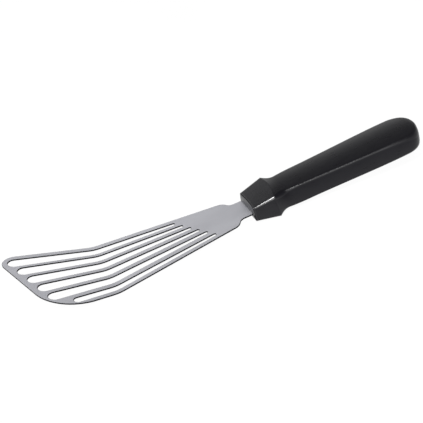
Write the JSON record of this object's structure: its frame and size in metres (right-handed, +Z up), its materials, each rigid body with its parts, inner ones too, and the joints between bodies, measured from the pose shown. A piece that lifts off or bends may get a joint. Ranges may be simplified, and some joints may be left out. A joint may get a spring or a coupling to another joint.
{
  "type": "slotted turner",
  "caption": "Slotted kitchen and grill turner: bent stainless blade with long tapering slots and a skewed front edge, moulded into a flared black plastic handle.",
  "frame": {"origin": "middle of the tool's box, on the surface it lies on", "axes": "+X from the handle toward the blade's tip, +Y across the blade toward its short rounded corner, +Z up from the surface"},
  "size_m": [0.3004, 0.073, 0.0278],
  "materials": {
    "blade_steel": "satin stamped sheet",
    "handle_plastic": "satin moulded plastic"
  },
  "bodies": {
    "root": {"slotted_blade": "blade_steel", "moulded_handle": "handle_plastic"}
  },
  "joints": []
}
